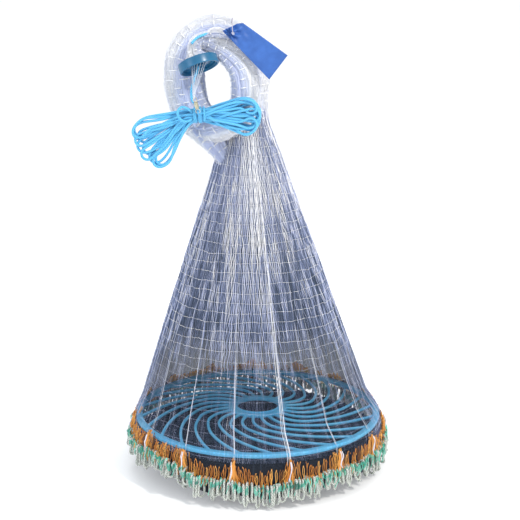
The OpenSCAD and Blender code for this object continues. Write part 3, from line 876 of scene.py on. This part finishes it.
def make_netting():
    panels = [piece(f"netting_{k + 1:02d}", netting_panel(k), "netting", "net",
                    (f"net_panel_{k + 1:02d}",)) for k in range(PANELS)]
    nodes = tuple(f"net_panel_{k + 1:02d}" for k in range(PANELS))
    sheet, under = netting_film()
    film = piece("netting_sheet", sheet, "film", "net", nodes)
    panels.append(piece("painted_shade_pocket", under, "pocket", "net", nodes))


def make_seams():
    """Brail lines inside the netting, and the laced seam over each one."""
    lines, lacing = Soup(), Soup()
    weights = np.random.default_rng(3).uniform(0.1, 0.35, PANELS)
    weights[[9, 10, 11, 12]] = (0.3, 0.55, 1.3, 0.4)
    for k in range(PANELS):
        angle = FIRST_SEAM + k * STEP
        z = np.linspace(NECK_Z, SKIRT_Z, 60)
        wander = 0.006 * np.sin(9 * z + k) + 0.002 * np.sin(31 * z + 2 * k)
        inner, _ = net_point(angle + wander, z, -0.0014)
        foot, _ = net_point(np.full(4, angle), np.linspace(SKIRT_Z - 0.006, HEM_Z + 0.004, 4), -0.0010)
        lines.tube(np.concatenate([inner, foot]), 0.0006, 6, shade=0.8)
        strands = int(math.ceil(2 * weights[k]))
        for strand in range(strands):
            draw = np.random.default_rng(900 + 10 * k + strand)
            z = np.linspace(-0.085, SKIRT_Z - 0.010, 90)
            ease = np.cumsum(draw.normal(0, 0.00012, len(z)))
            drift = 0.0011 * (strand - (strands - 1) / 2) * (0.5 + 1.6 * smooth_step(-z, 0.3, 0.65)) \
                + 0.0012 * np.sin(11 * z + 2 * strand + k) + ease
            r = profile(z)[2]
            pts, _ = net_point(angle + drift / r, z, 0.0027)
            thick = (0.12 + 0.22 * weights[k]) * (0.55 + 0.45 * smooth_step(-z, 0.22, 0.50))
            lacing.tube(pts, MM * thick, 5, shade=min(1, 0.30 + 0.45 * weights[k]))
    piece("brail_line_set", lines, "white", "net", ("brail_lines",))
    piece("seam_lacing", lacing, "white", "net", ("brail_lines",))


# ---------------------------------------------------------------- gathered netting at the top
def coil_frames(points, n):
    """Centreline, radius, two normals and length along it."""
    data = spline(np.array(points, float) * MM, n)
    path, radius = data[:, :3], data[:, 3]
    tangent = unit(np.gradient(path, axis=0))
    normal = carried(tangent, (0.1, 1, 0.2))
    return path, radius, normal, np.cross(tangent, normal), lengths(path)


def bundle(name, points, strands, seed, replaces, centre, fuzz=1.0):
    """A rope of gathered netting: pleated body, threads lying along it, broken knot rows and loose fluff outside."""
    path, radius, normal, side, along = coil_frames(points, 10)
    draw = np.random.default_rng(seed)
    counts = np.array((7, 13, 22, 34))
    phases = draw.uniform(0, TAU, 4)
    middle = np.array(centre) * MM
    at = lambda s, v: np.stack([np.interp(s, along, v[:, k]) for k in range(3)], axis=-1)

    def surface(s, turn, out):
        r = np.interp(s, along, radius)
        folds = MM * sum(a * np.sin(c * turn + p + 14 * s * (1 + 0.3 * i))
                         for i, (a, c, p) in enumerate(zip((0.9, 0.8, 0.6, 0.35), counts, phases)))
        folds = folds * np.minimum(1, r / 0.02)
        direction = np.cos(turn)[..., None] * at(s, normal) + np.sin(turn)[..., None] * at(s, side)
        return at(s, path) + (r - 0.0022 + out + folds)[..., None] * direction, direction

    def outside(pts, direction):
        """1 on the side turned away from the middle of the coil, 0 on the inside: it paints light on the outer side
        of the coil and shade on its inner side.
        """
        away = unit(pts - middle)
        return smooth_step(np.sum(away * direction, axis=-1), 0.55, 1.0)

    total = along[-1]
    body = Soup()
    s = np.linspace(0, total, max(40, int(total / 0.004)))
    turn = np.linspace(0, TAU, 180, endpoint=False)
    tt, ss = np.meshgrid(turn, s)
    pts, direction = surface(ss, tt, -0.0016)
    m = len(turn)
    # Painted light and shade: the body is lighter on the outer side of the coil and darker on its inner side.
    body.add(pts, grid_faces(len(s), m), None, 0.40 + 0.60 * outside(pts, direction).reshape(-1),
             np.stack([tt / TAU, ss], axis=-1))
    for end in (0, len(s) - 1):
        ring = pts[end]
        fan = [(m, j, (j + 1) % m) for j in range(m)]
        body.add(np.concatenate([ring, ring.mean(axis=0)[None]]), None, fan, 0.4)
    threads = Soup()
    steps = int(total / 0.0095) + 2
    s = np.linspace(0, total, steps)
    for layer, (share, out, thick) in enumerate(((0.6, -0.0010, 0.00024), (0.4, 0.0004, 0.00020))):
        number = int(strands * share)
        base = np.arange(number) * TAU / number + draw.normal(0, 0.01, number)
        zig = np.where(np.arange(steps) % 2, 1, -1)[None] * np.where(np.arange(number) % 2, 1, -1)[:, None]
        turn = base[:, None] + 0.45 * zig * TAU / number + draw.normal(0, 0.012, (number, steps)) \
            + 0.25 * np.sin(6 * s[None] + layer)
        pts, normals = surface(np.broadcast_to(s, turn.shape), turn, out + draw.normal(0, 0.00035, turn.shape))
        # Painted light and shade: the threads are lighter on the outer side of the coil.
        shade = np.clip(draw.normal(0.50, 0.18, number)[:, None] + 0.45 * outside(pts, normals), 0.1, 1)
        threads.threads(pts, thick, normals, shade)
    dashes = Soup()
    for index, s0 in enumerate(np.arange(0.012, total - 0.006, 0.0150)):
        turn0 = draw.uniform(0, 0.6)
        while turn0 < TAU:
            wide = draw.uniform(0.26, 0.62)
            turn = np.linspace(turn0, turn0 + wide, 9)
            s_row = s0 + 0.0018 * np.sin(2 * turn + index) + draw.normal(0, 0.0009) + draw.normal(0, 0.0002, 9)
            pts, _ = surface(s_row, turn, 0.0012)
            dashes.tube(pts, 0.00115 * np.sin(np.linspace(0.35, 2.8, 9)), 4, shade=1.0)
            turn0 += wide + draw.uniform(0.12, 0.42)
    for _ in range(int(fuzz * total / 0.00038)):
        s0 = draw.uniform(0.004, total - 0.03)
        facing_out = unit(at(s0, path) - middle)
        facing = math.atan2(facing_out @ at(s0, side), facing_out @ at(s0, normal))
        turn0 = facing + draw.normal(0, 0.36)
        span = draw.uniform(0.010, 0.030)
        f = np.linspace(0, 1, 7)
        turn = turn0 + draw.normal(0, 0.22) * f + 0.06 * np.sin(TAU * f + draw.uniform(0, TAU))
        lift = draw.uniform(0.0, 0.0060) * np.sin(math.pi * f) - 0.0012
        pts, normals = surface(s0 + span * f, turn, lift)
        dashes.threads(pts[None], 0.00032, normals[None], np.full((1, 7), draw.uniform(0.7, 1.0)))
    for suffix, soup, look in (("", body, "bundle"), ("_threads", threads, "ring"), ("_fluff", dashes, "white")):
        piece(name + suffix, soup, look, "net", replaces)


def make_coil():
    bundle("coil_outer", COIL_OUTER + COIL_INNER[:1], 330, 21, ("net_coil_outer",), (0, 16, -30))
    bundle("coil_inner", COIL_OUTER[-1:] + COIL_INNER, 260, 22, ("net_coil_inner",), (0, -20, -30), 0.6)
    bundle("coil_pouch", POUCH, 200, 23, ("net_coil_inner",), (0, -8, -60), 0.12)
    bundle("coil_wrap", COIL_WRAP, 90, 24, ("net_coil_inner",), (0, -20, -30), 0.8)


# ---------------------------------------------------------------- flying disc
def lathe(soup, outline, steps, centre=(0, 0, 0)):
    """Adds a ring turned about the vertical axis. Its outline is (radius, height)."""
    radius, height = np.asarray(outline, float).T
    turn = (np.arange(steps) * TAU / steps)[:, None]
    soup.add(np.stack([centre[0] + radius * np.cos(turn), centre[1] + radius * np.sin(turn),
                       np.broadcast_to(centre[2] + height, (steps, len(radius)))], axis=-1),
             grid_faces(steps, len(radius), flip=True, wrap_rows=True))


def rounded_box(r1, r2, z1, z2, radius, n=5):
    """Outline of a ring's section with round corners."""
    out = []
    for cx, cz, a0 in ((r2 - radius, z2 - radius, 0), (r1 + radius, z2 - radius, 90),
                       (r1 + radius, z1 + radius, 180), (r2 - radius, z1 + radius, 270)):
        for a in np.radians(np.linspace(a0, a0 + 90, n)):
            out.append((cx + radius * math.cos(a), cz + radius * math.sin(a)))
    return out


def make_disc():
    half = (rim_high[2] - rim_low[2]) / 2
    rim_in = RIM_R - 0.012
    groove = [(r, z - 0.0012 * math.exp(-((r - RIM_R + 0.006) / 0.002) ** 2) if z > 0 else z)
              for r, z in rounded_box(rim_in, RIM_R, -half, half, 0.0026, 6)]
    rim, hub = Soup(), Soup()
    lathe(rim, groove, 240, DISC)
    piece("disc_rim_skin", rim, "disc", "disc", ("disc_rim",))
    hub_in = HUB_R - 0.016
    hub_half = (hub_high[2] - hub_low[2]) / 2
    at = (DISC[0], DISC[1], HUB_Z)
    lathe(hub, rounded_box(hub_in, HUB_R, -hub_half, hub_half, 0.0022, 6), 160, at)
    lip = rounded_box(hub_in - 0.0002, hub_in + 0.0034, hub_half - 0.001, hub_half + 0.0016, 0.0012, 4)
    lathe(hub, lip, 160, at)
    piece("disc_hub_skin", hub, "disc", "disc", ("disc_hub",))
    spokes = Soup()
    q = spline(SPOKE, 6)
    radius, sweep = q[:, 0] * MM, np.radians(q[:, 1])
    fall = (HUB_Z - DISC[2]) * (1 - np.clip((radius - HUB_R) / (rim_in - HUB_R), 0, 1))
    sides = 10
    ring = np.arange(sides) * TAU / sides
    squarish = lambda v: np.sign(v) * np.abs(v) ** 0.7
    for k in range(SPOKES):
        a = math.radians(SPOKE_PHASE) + k * TAU / SPOKES + sweep
        line = np.stack([DISC[0] + radius * np.cos(a), DISC[1] + radius * np.sin(a), DISC[2] + fall], axis=-1)
        t = unit(np.gradient(line, axis=0))
        across = unit(np.cross(t, np.array([0, 0, 1.0])))
        up = np.cross(across, t)
        wide = 0.0025 + 0.0011 * (np.exp(-(radius - HUB_R) / 0.006) + np.exp((radius - rim_in) / 0.006)).clip(0, 1.2)
        pts = line[:, None] + wide[:, None, None] * squarish(np.cos(ring))[None, :, None] * across[:, None] \
            + 0.0025 * squarish(np.sin(ring))[None, :, None] * up[:, None]
        spokes.add(pts, grid_faces(len(line), sides, flip=True))
    piece("disc_spoke_set", spokes, "disc", "disc", ("disc_spokes",))


# ---------------------------------------------------------------- hem
def hem_lift(angle):
    """The hem hangs higher at the back and at one side, and sags between brail lines."""
    rise = np.array(HEM_RISE, float)
    turn = np.degrees(angle) % 360
    return MM * np.interp(turn, rise[:, 0], rise[:, 1]) + 0.0020 * np.cos(PANELS * (angle - FIRST_SEAM)) \
        + 0.0018 * np.sin(11 * angle + 2)


def hem_frame(angle, radius, z):
    return np.stack([DISC[0] + radius * np.cos(angle), DISC[1] + radius * np.sin(angle), z], axis=-1)


def make_lead_line():
    """One lead-core rope gathered into hanging loops all round the hem."""
    draw = np.random.default_rng(41)
    loops = 240
    points = []
    angle = 0.0
    widths = draw.uniform(0.6, 1.4, loops)
    widths *= TAU / widths.sum()
    for k in range(loops):
        w = widths[k]
        tall = 0.037 * draw.uniform(0.55, 1.06)
        mid_r = 0.2330 + draw.uniform(-0.0060, 0.0065)
        tilt = draw.normal(0, 0.22)
        lean = draw.normal(0, 0.002)
        swing = draw.normal(0, 0.0035)
        wide = draw.uniform(1.0, 2.1)
        top = HEM_Z - 0.0005 - draw.uniform(0, 0.007)
        for f, h in ((0.06, 0.0), (0.17, 0.28), (0.12, 0.62), (0.24, 0.90), (0.50, 1.0), (0.76, 0.90), (0.88, 0.62),
                     (0.83, 0.28), (0.94, 0.0)):
            f = 0.5 + (f - 0.5) * (1 + (wide - 1) * h)
            a = angle + w * (f + tilt * h)
            r = mid_r + lean * h + 2 * swing * (f - 0.5) * h + 0.0022 * math.sin(6 * f)
            points.append((a, r, top - tall * h + hem_lift(a)))
        angle += w
    p = np.array(points)
    path = hem_frame(p[:, 0], p[:, 1], p[:, 2])
    path = np.concatenate([path, path[:1]])
    path = resample(spline(path, 5), 0.0026)
    soup = Soup()
    soup.tube(path, 0.0020, 8, caps=False)
    piece("lead_rope", soup, "lead", "net", ("lead_line",))
    return p


def finger_radius(z):
    """The orange fingers lie on the netting."""
    return np.maximum(profile(z)[2] + 0.0034, 0.2318 * smooth_step(-z, 0.640, 0.655))


def make_hem():
    tops = make_lead_line()
    draw = np.random.default_rng(42)
    twine = Soup()
    groups = tops.reshape(-1, 9, 3)
    for k, loop in enumerate(groups):
        for leg in (1, 7):
            if draw.random() < 0.5:
                continue
            a, r, z = loop[leg]
            turns = draw.integers(2, 7)
            t = np.linspace(0, 1, turns * 9)
            wind = TAU * turns * t
            centre = hem_frame(np.full(len(t), a), np.full(len(t), r), z + 0.006 - 0.002 * turns * t)
            tangent = np.array([-math.sin(a), math.cos(a), 0])
            outward = np.array([math.cos(a), math.sin(a), 0])
            path = centre + 0.0028 * (np.cos(wind)[:, None] * outward + np.sin(wind)[:, None] * tangent)
            twine.tube(path, 0.00055, 5, shade=np.clip(draw.normal(0.55, 0.25), 0, 1))
        a0, _, z0 = loop[8]
        a1, _, z1 = groups[(k + 1) % len(groups)][0]
        if k == len(groups) - 1:
            a1 += TAU
        f = np.linspace(0, 1, 12)
        reach = draw.uniform(0.5, 2.5)
        a = a0 + (a1 - a0) * (0.5 + (f - 0.5) * reach) + draw.normal(0, 0.0015, 12)
        path = hem_frame(a, 0.2366 + 0.0016 * np.sin(TAU * 2 * f),
                         z0 + (z1 - z0) * f + draw.uniform(-0.005, 0.002) + 0.003 * np.sin(TAU * 2 * f + k))
        twine.tube(path, 0.0007, 5, shade=np.clip(draw.normal(0.5, 0.25), 0, 1))
        if draw.random() < 0.85:
            end = draw.uniform(0.008, 0.028)
            f = np.linspace(0, 1, 8)
            path = hem_frame(a0 + 0.02 * draw.normal() * f + 0.006 * np.sin(5 * f), 0.2378 + 0.002 * np.sin(3 * f),
                             z0 - end * f)
            twine.tube(path, 0.0006, 5, shade=draw.uniform(0.4, 1))
    piece("lashing_twine_set", twine, "teal", "net", ("lashing_twine",))
    orange = Soup()
    fingers = 380
    for k in range(fingers):
        a0 = TAU * (k + 0.3 * draw.normal()) / fingers
        off = ((a0 - FIRST_SEAM + STEP / 2) % STEP) - STEP / 2
        near = math.exp(-(off / (0.16 * STEP)) ** 2)
        tall = draw.uniform(0.017, 0.030) + 0.010 * near
        foot = HEM_Z - 0.004 + hem_lift(a0)
        top = foot + tall
        pull = -0.35 * off * near
        shade = float(np.clip(draw.normal(0.50, 0.28), 0.0, 1))
        f = np.linspace(0, 1, 9)
        for sign in (-1, 1):
            if draw.random() < 0.12:
                continue
            spread = sign * (TAU / fingers) * draw.uniform(0.25, 0.6) * np.sin(math.pi * f ** 0.7) \
                + draw.normal(0, 0.0011, 9)
            a = a0 + spread + pull * (1 - f)
            z = top - tall * f
            r = finger_radius(z) + 0.0008 * np.sin(5 * f + k) + draw.normal(0, 0.0004, 9)
            orange.tube(hem_frame(a, r, z), 0.00046, 4, shade=shade)
            if top > DISC[2] + 0.011:
                z = np.linspace(top + draw.uniform(0.001, 0.006), DISC[2] + 0.0075, 5)
                orange.tube(hem_frame(a[:5], profile(z)[2] - 0.0030, z), 0.0018, 4, shade=0.85 + 0.15 * shade)
        tip_r = np.array([finger_radius(top) + 0.0007, 0.2335])
        tips = hem_frame(np.array([a0 + pull, a0]), tip_r, np.array([top, foot]))
        tang = np.tile([-math.sin(a0), math.cos(a0), 0], (2, 1))
        outw = np.tile([math.cos(a0), math.sin(a0), 0], (2, 1))
        orange.knots(tips, np.tile([0, 0, 1.0], (2, 1)), tang, outw, (0.0018, 0.0009, 0.0009), shade)
        if draw.random() < 0.5:
            low = draw.uniform(0.006, 0.016)
            path = hem_frame(a0 + draw.normal(0, 0.012) * f, 0.2352 + 0.002 * f, foot + 0.006 - (low + 0.006) * f)
            orange.tube(path, 0.00055, 4, shade=float(np.clip(shade + 0.1, 0, 1)))
    white = Soup()
    for k in range(PANELS):
        a0 = FIRST_SEAM + k * STEP
        f = np.linspace(0, 1, 9)
        for j in range(30):
            flare = draw.normal(0, 0.028)
            a = a0 + draw.normal(0, 0.006) + flare * f ** 1.5 + 0.004 * np.sin(6 * f + j)
            z = SKIRT_Z - draw.uniform(0.0, 0.014) + hem_lift(a0) * 0.5 - draw.uniform(0.026, 0.044) * f
            r = finger_radius(z) + 0.0012 + draw.uniform(-0.001, 0.0030) * f
            orange.tube(hem_frame(a, r, z), 0.0005, 4, shade=float(np.clip(draw.normal(0.68, 0.25), 0, 1)))
        f = np.linspace(0, 1, 12)
        for j in range(2):
            a = a0 + draw.normal(0, 0.010) + 0.014 * np.sin(5 * f + j) * f
            z = SKIRT_Z - 0.004 + 0.5 * hem_lift(a0) - draw.uniform(0.030, 0.050) * f
            r = finger_radius(z) + 0.0036 + 0.001 * j + 0.001 * np.sin(7 * f)
            white.tube(hem_frame(a, r, z), 0.0007, 6, shade=0.6)
    piece("selvage_threads", orange, "orange", "net", ("selvage_netting",))
    piece("brail_ends", white, "white", "net", ("brail_lines",))


# ---------------------------------------------------------------- collar, swivel, tag
def make_collar():
    r, half, wall = 0.0345, 0.0075, 0.0035
    web_low, web_high = -0.004, -0.001
    band = Soup()
    lathe(band, rounded_box(r - wall, r, -half, half, 0.0012, 6), 96)
    lathe(band, rounded_box(r - wall - 0.0022, r - wall + 0.0004, web_low - 0.0012, web_high + 0.0012, 0.0008, 4), 96)
    lathe(band, rounded_box(0.008, 0.0105, web_low - 0.0016, web_high + 0.0016, 0.0008, 4), 48)
    # holes through the web: distance from the middle, angle, radius, sides
    holes = [(0, 0, 0.008, 40)] + [(0.021, (k + 0.5) * 30, 0.0032, 24) for k in range(12)] \
        + [(0.013, a, 0.0016, 24) for a in range(190, 341, 25)]
    bpy.ops.mesh.primitive_cylinder_add(vertices=96, radius=r - wall + 0.0002, depth=web_high - web_low,
                                        location=(0, 0, (web_low + web_high) / 2))
    web = bpy.context.active_object
    cutters = []
    for pcr, a, hr, sides in holes:
        place = pcr * circle(math.radians(a))
        bpy.ops.mesh.primitive_cylinder_add(vertices=sides, radius=hr, depth=0.02, location=(*place, 0))
        cutters.append(bpy.context.active_object)
    bpy.ops.object.select_all(action="DESELECT")
    for c in cutters:
        c.select_set(True)
    bpy.context.view_layer.objects.active = cutters[0]
    bpy.ops.object.join()
    cutter = bpy.context.active_object
    cut = web.modifiers.new("holes", "BOOLEAN")
    cut.operation = "DIFFERENCE"
    cut.object = cutter
    cut.solver = "EXACT"
    cut.use_self = True
    soften = web.modifiers.new("soften", "BEVEL")
    soften.width = 0.0004
    soften.segments = 2
    soften.limit_method = "ANGLE"
    bpy.context.view_layer.objects.active = web
    web_mesh = bpy.data.meshes.new_from_object(web.evaluated_get(bpy.context.evaluated_depsgraph_get()))
    bpy.data.objects.remove(cutter)
    bpy.data.objects.remove(web)
    turn = Matrix.Rotation(COLLAR_TURN[1], 4, "Y") @ Matrix.Rotation(COLLAR_TURN[0], 4, "X")
    for name, mesh in (("collar_web", web_mesh), ("collar_band", band.mesh("collar_band"))):
        mesh.name = name
        mesh.transform(Matrix.Translation(Vector(COLLAR_AT)) @ turn)
        piece(name, mesh, "collar", "net", ("collar_ring",))


def make_swivel():
    """The CAD nodes that keep their own shape, in their materials."""
    for node, look in (("swivel_upper_eye", "wire"), ("swivel_lower_eye", "wire"), ("swivel_barrel", "brass"),
                       ("leader_lines", "leader"), ("hand_line_end_knot", "rope")):
        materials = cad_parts[node].data.materials
        materials.clear()
        materials.append(MAT[look])


def bump_at(x, z, place, spread):
    return np.exp(-((x - place[0]) ** 2 + (z - place[1]) ** 2) / (2 * spread ** 2))


def make_tag():
    """Card tag: flat towards its far corners, crumpled at the tied end."""
    low_start, cut_end, corner, far_end, low_end = TAG_OUTLINE
    nu, nv, cut, thick = 72, 40, 0.10, 0.0006
    u, v = np.meshgrid(np.linspace(-cut, 1, nu), np.linspace(0, 1, nv), indexing="ij")
    t = np.clip((u + cut) / (1 + cut), 0, 1)
    u, down, along = u[..., None], v[..., None], t[..., None]
    top = np.where(u < 0, cut_end + (u + cut) / cut * (corner - cut_end), corner + u * (far_end - corner))
    flat = top + down * (low_start + along * (low_end - low_start) - top)
    x, z = flat[..., 0], flat[..., 1]
    near = bump_at(x, z, (0.026, 0.062), 0.017)
    ridge = np.sin(9 * np.arctan2(z - 0.056, x - 0.022) + 1.0)
    crease = 0.0030 * near * ridge + 0.0015 * near * np.sin(420 * x + 300 * z)
    curl = 0.0030 * (t - 0.45) ** 2 * np.cos(math.pi * v * 0.8) - 0.0008
    y = -0.0748 + crease - curl - 0.0010 * bump_at(x, z, (0.060, 0.030), 0.010)
    quads = grid_faces(nu, nv, flip=True, wrap_columns=False)
    hole = np.linalg.norm(flat - TAG_HOLE, axis=-1).reshape(-1) < 0.0018
    kept = quads[~hole[quads].any(axis=1)]
    n = nu * nv
    edges = np.concatenate([kept[:, [j, (j + 1) % 4]] for j in range(4)])
    _, index, count = np.unique(np.sort(edges, axis=1), axis=0, return_index=True, return_counts=True)
    rim = edges[index[count == 1]]
    sides = np.stack([rim[:, 0], rim[:, 1], rim[:, 1] + n, rim[:, 0] + n], axis=1)
    soup = Soup()
    soup.add([np.stack([x, y + face * thick / 2, z], axis=-1) for face in (-1, 1)],
             np.concatenate([kept[:, ::-1], kept + n, sides]))
    mesh = soup.mesh("tag_card")
    bm = bmesh.new()
    bm.from_mesh(mesh)
    bmesh.ops.delete(bm, geom=[v for v in bm.verts if not v.link_faces], context="VERTS")
    bmesh.ops.recalc_face_normals(bm, faces=bm.faces)
    bm.to_mesh(mesh)
    bm.free()
    piece("tag_card", mesh, "tag", "tag", ("tag",))


# ---------------------------------------------------------------- floor
def make_floor():
    bpy.ops.mesh.primitive_plane_add(size=50, location=(0, 0, cad_box[0][2] - 0.010))
    floor = bpy.context.active_object
    floor.name = "floor"
    n = Nodes("floor", (0.90, 0.90, 0.90), 0.8)
    n.colour(n.ramp(n.noise(n.coords(), 3), [(0.3, (0.88, 0.88, 0.885)), (0.7, (0.92, 0.92, 0.92))]))
    n.set("Emission Color", (1, 1, 1, 1))
    n.set("Emission Strength", 0.22)
    floor.data.materials.append(n.mat)


look_camera()
make_cords()
studio()
make_netting()
make_seams()
make_coil()
make_disc()
make_hem()
make_collar()
make_swivel()
make_tag()
make_floor()
